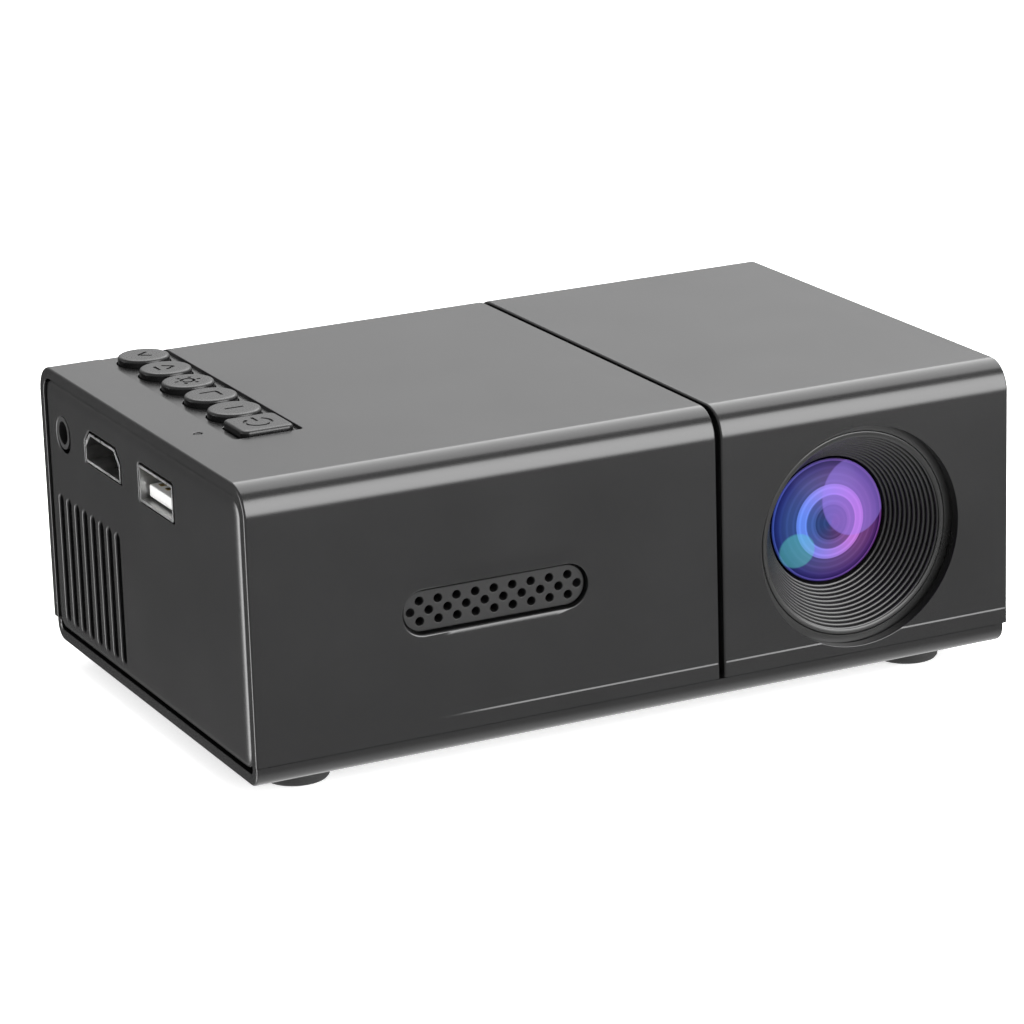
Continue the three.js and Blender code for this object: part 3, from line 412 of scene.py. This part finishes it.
def mainCutters():
    s = stripSet
    floorZ = topZ - s["depth"]
    wide, deep = s["right"] - s["left"], backY + 3 - s["front"]
    strip = roundedBox(wide, deep, (0.6, 0.01))
    middle = ((s["left"] + s["right"]) / 2, (s["front"] + backY + 3) / 2, topZ)
    cuts = [mouth(strip, middle, "z", s["depth"], s["flare"])]
    for name in keyNames:
        spot = keySpots[name]
        cuts.append(mouth(keyOutline(name, keySet["slack"]), (spot[0], spot[1], floorZ), "z", 3, 0.12))
    pipe = np.add(*boxOf("light_pipe")) / 2
    cuts.append(mouth(circle(0.7, 24), (pipe[0], pipe[1], topZ), "z", 3, 0.12))
    grille = np.add(*boxOf("speaker_grille")) / 2
    cuts.append(mouth(roundedBox(29.8, 6.7, 3.34, 12), (grille[0], frontY, grille[2]), "-y", 3, 0.35))
    jack = np.add(*boxOf("power_jack")) / 2
    cuts.append(mouth(circle(3.7), (jack[0], backY, jack[2]), "y", 3, 0.3))
    card = np.add(*boxOf("card_slot")) / 2
    cuts.append(mouth(roundedBox(12, 2, 0.4), (card[0], backY, card[2]), "y", 3, 0.3))
    return cuts


mainCover = build("main_cover_skin", mainShell)
cutOut(mainCover, *mainCutters())
place(mainCover, "casing", "case_plastic", casePlastic, "main_cover")
tongue = build("split_tongue", tongueSkin())
place(tongue, "casing", "case_plastic", blackPlastic)
lensCover = build("lens_cover_skin", lensShell)
cutOut(lensCover, mouth(circle(17.2, 128), (lensX, frontY, lensZ), "-y", 3, 0.12))
place(lensCover, "casing", "case_plastic", casePlastic, "lens_cover")
print("covers shaped")


# ---- bottom shell

shellSet = {"wall": 1.8, "radius": 2.6, "edge": 0.3, "lip": 2.4}


def trayPath(halfWidth, low, top, radius, fine=10):  # down the front wall, across the floor and up the back
    arcPoints = arc(-halfWidth + radius, low + radius, radius, 180, 270, fine)
    front = np.vstack([[[-halfWidth, top]], arcPoints])
    across = np.column_stack([np.linspace(-halfWidth + radius, halfWidth - radius, 12), np.full(12, low)])[1:-1]
    points = np.vstack([front, across, front[::-1] * [-1, 1]])
    turn = np.vstack([[[-1.0, 0.0]], arc(0, 0, 1, 180, 270, fine)])
    normals = np.vstack([turn, np.tile([0.0, -1.0], (10, 1)), turn[::-1] * [-1, 1]])
    return points, normals


def bottomPiece():
    low, high = boxOf("bottom_shell")
    s = shellSet
    parting = mainLow[2] - 0.3
    path = trayPath(high[1], low[2], parting, s["radius"])
    tray = shellSkin(path, wallLoop(low[0], high[0], s["wall"], s["edge"]))
    inside = mainHigh[1] - coverSet["wall"] - 0.3
    lips = [skin(stacked(roundedBox(118, 1.2, 0.3, 3), [(low[2] + 1, 0), (high[2] - 4, 0)],
                         np.array([0, side * (inside - 0.6), 0.0]), "z")) for side in (-1, 1)]
    piece = build("bottom_shell_skin", tray)
    vents = [mouth(slide(roundedBox(2, 22, 0.99), 22 - 4 * k, 16), (0, 0, low[2]), "-z", 3, 0.25)
             for k in range(-3, 4)]
    nut = mouth(circle(5.2), (0, 0, low[2]), "-z", 3, 0.3)
    cutOut(piece, *vents, nut)
    place(piece, "casing", "case_plastic", casePlastic, "bottom_shell")
    rim = build("shell_lips", *lips)
    place(rim, "casing", "case_plastic", blackPlastic)


bottomPiece()
print("bottom shell shaped")


# ---- end panels

panelSet = {"border": 0.3, "groove": 0.3, "crown": 1.9, "corner": (2.4, 2.7), "thickness": 1.8,
            "ventWidth": 1.8, "ventFlare": 0.28}


def panelSkin(name, side):
    low, high = boxOf(name)
    s = panelSet
    middle, size = (low + high) / 2, high - low
    outer = roundedBox(size[1], size[2], s["corner"])
    face = high[0] if side > 0 else low[0]
    t = np.linspace(0, pi / 2, 9)
    # the face falls away to its groove along a quarter of an ellipse, as wide as the crown
    crown = np.column_stack([s["groove"] * (np.sin(t) - 1), s["crown"] * (np.cos(t) - 1) - s["border"]])
    steps = [(-s["thickness"], 0), (-s["groove"] - 0.06, 0), (-s["groove"], -0.06)] + crown.tolist()
    origin = np.array([face, middle[1], middle[2]])
    return skin(stacked(outer, steps, origin, "x" if side > 0 else "-x")), origin, middle


def ventCutters(origin, side):
    s, cuts = panelSet, []
    low, high = baseHeight + 4.2, baseHeight + 25.0
    slot = roundedBox(s["ventWidth"], high - low, s["ventWidth"] / 2 - 0.01)
    for k in range(8):
        y = 22.5 + (k - 3.5) * 3.43
        cuts.append(mouth(slot, (origin[0], y, (low + high) / 2), "x" if side > 0 else "-x", 4, s["ventFlare"]))
    return cuts


def socketOutline(grow):  # a flat-bottomed socket mouth with its two upper corners cut off
    w, h, bevel = 7.2 + grow, 2.45 + grow, 1.96
    corners = [(-w, -h), (w, -h), (w, h - bevel), (w - bevel, h), (bevel - w, h), (-w, h - bevel)]
    loop = []
    for k, corner in enumerate(corners):  # each corner eased by a short chamfer arc
        before, after = np.array(corners[k - 1]), np.array(corners[(k + 1) % 6])
        here = np.array(corner, float)
        a = here + (before - here) / np.linalg.norm(before - here) * 0.35
        b = here + (after - here) / np.linalg.norm(after - here) * 0.35
        t = np.linspace(0, 1, 4)[:, None]
        loop.append((1 - t) ** 2 * a + 2 * t * (1 - t) * here + t ** 2 * b)
    loop = np.vstack(loop)
    return loop, loopNormals(loop)


def portPiece():
    shape, origin, middle = panelSkin("port_panel", -1)
    piece = build("port_panel_skin", shape)
    hdmi, usb, jack = (np.add(*boxOf(n)) / 2 for n in ("hdmi_socket", "usb_socket", "av_jack"))
    jackZ = baseHeight + 35.3
    cuts = ventCutters(origin, -1)
    cuts.append(mouth(socketOutline(0.3), (origin[0], hdmi[1], hdmi[2]), "-x", 4, 0.3))
    cuts.append(mouth(roundedBox(13.8, 6.3, 0.6, 4), (origin[0], usb[1], usb[2]), "-x", 4, 0.3))
    cuts.append(mouth(circle(2.9), (origin[0], jack[1], jackZ), "-x", 4, 0.3))
    cutOut(piece, *cuts)
    place(piece, "casing", "case_plastic", panelPlastic, "port_panel")


def ventPiece():
    shape, origin, middle = panelSkin("vent_panel", 1)
    piece = build("vent_panel_skin", shape)
    cutOut(piece, *ventCutters(origin, 1))
    place(piece, "casing", "case_plastic", panelPlastic, "vent_panel")


portPiece()
ventPiece()
print("end panels shaped")


# ---- speaker grille

grilleSet = {"pitch": 2.99, "row": 1.53, "hole": 0.65, "sink": 0.9, "slack": 0.2}


def grillePiece():
    s = grilleSet
    middle = np.add(*boxOf("speaker_grille")) / 2
    face = frontY + s["sink"]
    origin = np.array([middle[0], face, middle[2]])
    plate = roundedBox(29.8 - 2 * s["slack"], 6.7 - 2 * s["slack"], 3.1, 14)
    rim = [(-2.2, 0), (-0.25, 0), (-0.12, -0.04), (0, -0.18)]
    flange = roundedBox(32.8, 9.7, 4.6, 14)
    piece = build("speaker_grille_skin", skin(stacked(plate, rim, origin, "-y")),
                  skin(stacked(flange, [(-2.6, 0), (-1.25, 0)], origin, "-y")))
    holes = []
    for row in (-1, 0, 1):
        count = 10 if row == 0 else 9
        for k in range(count):
            x = middle[0] + (k - (count - 1) / 2) * s["pitch"]
            holes.append(mouth(circle(s["hole"], 20), (x, face, middle[2] + row * s["row"]), "-y", 4, 0.12))
    cutOut(piece, *holes)
    place(piece, "casing", "grille_plastic", grillePlastic, "speaker_grille")


grillePiece()
print("grille pierced")


# ---- keys

symbolSet = {"width": 0.5, "depth": 0.16}


def symbolLines(name):  # plain strokes: arc and bar, bar, corner, rayed ring, sound bars, angle
    def ray(angle, a, b):
        t = math.radians(angle)
        return [(a * math.cos(t), a * math.sin(t)), (b * math.cos(t), b * math.sin(t))]
    return {"power_key": [arc(0, 0, 2.0, 125, 415, 25), [(0, 0.4), (0, 2.6)]],
            "round_key_1": [[(-1.5, 0), (1.5, 0)]],
            "round_key_2": [[(-1.4, 1.0), (1.4, 1.0)], [(1.25, 0.8), (1.25, -1.4)]],
            "round_key_3": [arc(0, 0, 1.0, 0, 359, 21)] + [ray(a, 1.5, 2.1) for a in range(0, 360, 60)],
            "round_key_4": [[(-1.4, -1.2), (-1.4, 1.2)], [(-0.2, -1.2), (1.4, 0.0)], [(-0.2, 1.2), (1.4, 0.0)]],
            "round_key_5": [[(-0.9, 0), (0.9, 1.2)], [(-0.9, 0), (0.9, -1.2)]]}[name]


def keyPiece(name):
    low, high = boxOf(name)
    spot = keySpots[name]
    top = high[2]
    shade_ = 0.45
    t = np.linspace(0, pi / 2, 6)
    crown = np.column_stack([shade_ * (np.sin(t) - 1), shade_ * (np.cos(t) - 1)])
    steps = np.vstack([[(-3.0, 0)], crown, [(0.02, -1.1)]]) - [0.02, 0]
    origin = np.array([spot[0], spot[1], top])
    cap = build(name + "_cap", skin(stacked(keyOutline(name), steps, origin, "z")))
    s = symbolSet
    marks = []
    for line in symbolLines(name):
        outline = ribbon(line, s["width"])
        marks.append(skin(stacked(outline, [(-s["depth"], 0), (1, 0)], origin, "z")))
    cutOut(cap, *marks)
    place(cap, name, "key_plastic", keyPlastic, name)


for keyName in keyNames:
    keyPiece(keyName)
print("keys shaped")


# ---- focus ring and lens

ringSet = {"rim": 16.0, "band": 15.1, "sink": 2.0, "throat": 9.95, "end": 10.2, "back": 11.3, "flange": 18.3,
           "ribs": 12, "ribDepth": 0.46, "edge": 0.28}


def ringPiece():
    s = ringSet
    # a straight funnel from the band to the throat, pressed in by ribDepth * (1 - |sin|) between rounded ribs
    t = np.linspace(0, s["ribs"], s["ribs"] * 10 + 1)
    share = t / s["ribs"]
    fall = np.array([s["throat"] - s["band"], s["end"] - s["sink"] - 0.1])
    into = np.array([fall[1], -fall[0]]) / np.linalg.norm(fall)
    press = s["ribDepth"] * (1 - np.abs(np.sin(pi * t))) ** 1.2
    press[0] = 0.0
    funnel = np.array([s["band"], s["sink"] + 0.1]) + share[:, None] * fall + press[:, None] * into
    rim = arc(s["rim"] - s["edge"], s["sink"] + s["edge"], s["edge"], 0, -90, 5)
    band = [(s["rim"] - 0.5, s["sink"] + 0.05), (s["band"] + 0.15, s["sink"] + 0.02)]
    behind = [(s["throat"], s["back"]), (s["throat"] + 1.6, s["back"]), (s["flange"], 3.3), (s["flange"], 2.1),
              (s["rim"], 2.1)]
    profile = np.vstack([behind, rim, band, funnel])
    profile[:, 1] *= -1
    rings = turnedRings(profile, np.array([lensX, frontY, lensZ]), "-y", 160)
    piece = build("focus_ring_skin", skin(rings, round_=True), smooth=50, weighted=False)
    place(piece, "focus_ring", "ring_plastic", ringPlastic, "focus_ring")


ringPiece()

glassSet = {"radius": 9.75, "front": 8.7, "bulge": 1.5, "head": 0.5, "barrel": (8.8, 15.9),
            "cool": (0.06, 0.12, 0.4), "warm": (0.25, 0.08, 0.3),
            "zones": [(0.0, 0.2), (0.28, 0.2), (0.29, 0.4), (0.43, 0.4), (0.45, 1.0), (0.6, 1.0), (0.61, 0.3),
                      (1.0, 0.3)]}


# the front lens: coating colours, with painted reflections and a painted highlight line laid over them
def coatedGlassPaintedReflections():
    m, tree, shader = material("coatedglass_paintedreflections", roughness=0.06, specular_ior_level=0.02)
    where = node(tree, "TexCoord").outputs["Object"]
    centred = node(tree, "Mapping", {"Vector": where, "Location": (-lensX * mm, 0, -lensZ * mm)})
    parts = node(tree, "SeparateXYZ", {"Vector": centred.outputs["Vector"]})
    x, z = parts.outputs["X"], parts.outputs["Z"]

    def distance(atX, atZ):  # distance from a point on the glass, as a share of its radius
        offX = node(tree, "Math", {0: x, 1: atX * glassSet["radius"] * mm}, operation="SUBTRACT").outputs[0]
        offZ = node(tree, "Math", {0: z, 1: atZ * glassSet["radius"] * mm}, operation="SUBTRACT").outputs[0]
        square = node(tree, "Math", {0: offX, 1: offX}, operation="MULTIPLY").outputs[0]
        both = node(tree, "Math", {0: offZ, 1: offZ, 2: square}, operation="MULTIPLY_ADD").outputs[0]
        length = node(tree, "Math", {0: both, 1: 0.5}, operation="POWER").outputs[0]
        return node(tree, "Math", {0: length, 1: glassSet["radius"] * mm}, operation="DIVIDE").outputs[0]

    def over(under, top, factor, mode="MIX"):
        return node(tree, "Mix", {"Factor": factor, "A": under, "B": top}, data_type="RGBA", blend_type=mode).outputs["Result"]

    share = distance(0, 0)
    angle = node(tree, "Math", {0: z, 1: x}, operation="ARCTAN2").outputs[0]
    white, black = (1, 1, 1), (0, 0, 0)
    # the coating leans from a cool hue on the left to a warm one on the right: 0.5 + 0.5 * cos(angle)
    lean = node(tree, "Math", {0: angle}, operation="COSINE").outputs[0]
    lean = node(tree, "Math", {0: lean, 1: 0.5, 2: 0.5}, operation="MULTIPLY_ADD").outputs[0]
    coat = over((*glassSet["cool"], 1), (*glassSet["warm"], 1), lean)
    # zones of strength as a share of the radius: a bright ring painted as the reflection of an inner glass, around a
    # darker middle
    zones = ramp(tree, share, [(at, (strength,) * 3) for at, strength in glassSet["zones"]])
    coat = over(coat, zones, 1.0, "MULTIPLY")
    # towards its rim the glass darkens, then a thin painted highlight line brightens it, then it darkens to the very
    # edge
    edge = ramp(tree, share, [(0.0, white), (0.75, white), (0.9, (0.55, 0.5, 0.8)), (0.955, (0.25, 0.22, 0.5)),
                              (0.965, (1.3, 1.2, 1.6)), (0.985, (0.8, 0.7, 1.0)), (1.0, (0.05, 0.05, 0.1))])
    tone = over(coat, edge, 1.0, "MULTIPLY")
    # fine rings that the inner glasses show through the first one
    rings = node(tree, "Math", {0: share, 1: 60.0}, operation="MULTIPLY").outputs[0]
    rings = node(tree, "Math", {0: rings}, operation="SINE").outputs[0]
    tone = over(tone, ramp(tree, rings, [(0.0, (0.8, 0.8, 0.8)), (1.0, (1.15, 1.15, 1.15))]), 0.6, "MULTIPLY")
    # two bright patches painted on as reflections: a lavender window-shaped highlight to the upper right and a cyan one
    # low on the left
    patch = ramp(tree, distance(0.46, 0.33), [(0.6, (0.42, 0.42, 0.42)), (0.625, black)])
    tone = over(tone, (0.15, 0.1, 0.4, 1), patch)
    low = ramp(tree, distance(-0.58, -0.4), [(0.27, (0.4, 0.4, 0.4)), (0.3, black)])
    tone = over(tone, (0.05, 0.25, 0.25, 1), low)
    tree.links.new(tone, shader.inputs["Base Color"])
    return m


def lensPiece():
    s = glassSet
    t = np.linspace(0, 1, 28)
    # a shallow dome: it falls by bulge * t^2 out to its rim, then steps in to the barrel
    dome = np.column_stack([s["radius"] * t, s["front"] + s["bulge"] * t ** 2])
    rim = s["front"] + s["bulge"]
    back = [(s["radius"], rim + s["head"]), (s["barrel"][0], rim + s["head"]), s["barrel"], (0, s["barrel"][1])]
    profile = np.vstack([dome, back])
    profile[:, 1] *= -1
    piece = build("coated_front_lens", skin(turnedRings(profile, np.array([lensX, frontY, lensZ]), "-y", 128), ends=False),
                  smooth=40)
    place(piece, "lens_barrel", "coated_glass", coatedGlassPaintedReflections(), "front_lens")


lensPiece()
print("focus ring and lens shaped")


# ---- feet, tripod nut and socket tongue

def footPiece(name):
    low, high = boxOf(name)
    middle = (low + high) / 2
    profile = [(0, low[2]), (4.2, low[2]), (4.7, low[2] + 0.12), (4.95, low[2] + 0.45), (5.05, low[2] + 1.5),
               (5.2, low[2] + 1.62), (5.8, low[2] + 1.7), (5.9, low[2] + 1.85), (5.9, high[2]), (0, high[2])]
    rings = turnedRings(profile, np.array([middle[0], middle[1], 0.0]), "z", 72)
    piece = build(name + "_pad", skin(rings, ends=False), smooth=40)
    place(piece, "casing", "rubber", rubber, name)


for footName in [f"foot_{row}_{side}" for row in ("front", "rear") for side in ("left", "right")]:
    footPiece(footName)


def nutPiece():
    low, high = boxOf("tripod_nut")
    turns = 6
    t = np.linspace(0, turns, turns * 4 + 1)
    thread = np.column_stack([3.1 + 0.35 * np.abs((t % 1) * 2 - 1), low[2] + 0.4 + (high[2] - low[2] - 0.8) * t / turns])
    outer = [(3.5, high[2]), (4.8, high[2]), (5.0, high[2] - 0.2), (5.0, low[2] + 0.2), (4.8, low[2]), (3.6, low[2])]
    rings = turnedRings(np.vstack([thread, outer]), np.array([0, 0, 0.0]), "z", 64)
    piece = build("tripod_nut_thread", skin(rings, round_=True), smooth=25)
    place(piece, "casing", "brass", brassMetal, "tripod_nut")


nutPiece()


def tonguePiece():
    low, high = boxOf("usb_tongue")
    middle, size = (low + high) / 2, high - low
    bar = roundedBox(size[1], size[2], 0.3, 4)
    origin = np.array([low[0], middle[1], middle[2]])
    reach = 3.2  # the bar comes nearer the socket's mouth than its plain CAD block
    steps = [(-size[0], 0), (reach - 0.4, 0), (reach - 0.12, -0.08), (reach, -0.3)]
    piece = build("usb_tongue_bar", skin(stacked(bar, steps, origin, "-x")))
    place(piece, "casing", "white_plastic", whitePlastic, "usb_tongue")
    pads = [skin(stacked(roundedBox(1.1, 0.16, 0.06, 3), [(-7.5, 0), (reach - 1.2, 0), (reach - 1.0, -0.05)],
                         np.array([low[0], middle[1] + 2.5 * k, high[2] + 0.04]), "-x")) for k in (-1.5, -0.5, 0.5, 1.5)]
    contacts = build("usb_contacts", *pads)
    place(contacts, "casing", "plated_steel", goldMetal)


tonguePiece()
print("feet, nut and tongue shaped")


# ---- pieces that keep their frame shape

keptFinish = {"zinc_steel": zinc, "plated_steel": plated, "black_plastic": blackPlastic, "circuit_board": boardGreen,
              "can_aluminium": sinkMetal, "cone_paper": rubber, "clear_glass": clearSheet, "lcd_glass": lcdSheet,
              "clear_plastic": clearSheet, "bright_aluminium": brightMetal, "led_phosphor": phosphor,
              "board_aluminium": brightMetal, "sink_aluminium": sinkMetal}
paintedShadeFinish = {"light_pipe": blackPlastic}  # the clear light pipe is given black plastic: painted shade for the dark hole it sits in
for part in frame["record"]["subparts"]:
    kept = nodes[part["node"]]
    if not kept.hide_render:
        kept.data.materials.clear()
        kept.data.materials.append(paintedShadeFinish.get(part["node"], keptFinish[part["material_slot"]]))
print("inner pieces finished")


# ---- floor and light

floorSet = {"size": 3000.0, "pale": (0.9, 0.9, 0.9), "shade": (0.86, 0.86, 0.86), "glow": 0.64}


def makeFloor():
    s = floorSet
    sheet = build("floor", skin(stacked(roundedBox(s["size"], s["size"], 10, 4), [(-1, 0), (0, 0)], np.zeros(3), "z")))
    m, tree, shader = material("floorpaint", roughness=0.9, emission_color=(1, 1, 1, 1), emission_strength=s["glow"])
    where = node(tree, "TexCoord").outputs["Object"]
    tree.links.new(ramp(tree, noise(tree, where, 3, 2), [(0.3, s["shade"]), (0.7, s["pale"])]),
                   shader.inputs["Base Color"])
    sheet.data.materials.append(m)
    sheet.visible_glossy = False  # the case mirrors the studio's own tones, not the lit paint


# tone of the studio from straight down to straight up, and its soft panels: where each one faces, the cosine
# at which it starts and ends, and how bright it is
studioSet = {"tones": [(-1.0, 1.8), (-0.7, 1.5), (-0.45, 0.7), (-0.2, 0.62), (0.05, 0.82), (0.4, 0.95), (0.6, 0.75), (1.0, 0.7)],
             "panels": [("overBack", (0.42, 0.42, 0.8), 0.82, 0.86, 3.4), ("frontRight", (0.47, -0.81, 0.35), 0.86, 0.93, 8.6),
                        ("dimBackLeft", (-0.42, 0.86, -0.29), 0.6, 0.88, -0.46),
                        ("lowLeft", (-0.84, 0.46, -0.29), 0.9, 0.97, 7.0)]}


def makeStudio():
    world = bpy.data.worlds.new("studio")
    bpy.context.scene.world = world
    world.use_nodes = True
    tree = world.node_tree
    way = node(tree, "TexCoord").outputs["Generated"]
    height = node(tree, "SeparateXYZ", {"Vector": way}).outputs["Z"]
    level = node(tree, "MapRange", {"Value": height, "From Min": -1.0, "From Max": 1.0}).outputs["Result"]
    total = ramp(tree, level, [((z + 1) / 2, (tone / 2,) * 3) for z, tone in studioSet["tones"]])
    total = node(tree, "Math", {0: total, 1: 2.0}, operation="MULTIPLY").outputs[0]
    for name, facing, start, full, power in studioSet["panels"]:
        facing = np.array(facing) / np.linalg.norm(facing)
        toward = node(tree, "VectorMath", {0: way, 1: facing}, operation="DOT_PRODUCT").outputs["Value"]
        reach = node(tree, "MapRange", {"Value": toward, "From Min": start, "From Max": full, "To Max": power},
                     interpolation_type="SMOOTHSTEP").outputs["Result"]
        total = node(tree, "Math", {0: total, 1: reach}, operation="ADD").outputs[0]
    light = tree.nodes["Background"]
    light.inputs["Color"].default_value = (1, 1, 1, 1)
    tree.links.new(total, light.inputs["Strength"])


makeFloor()
makeStudio()
bpy.context.scene.view_settings.view_transform = "Standard"
print("stage and light set")
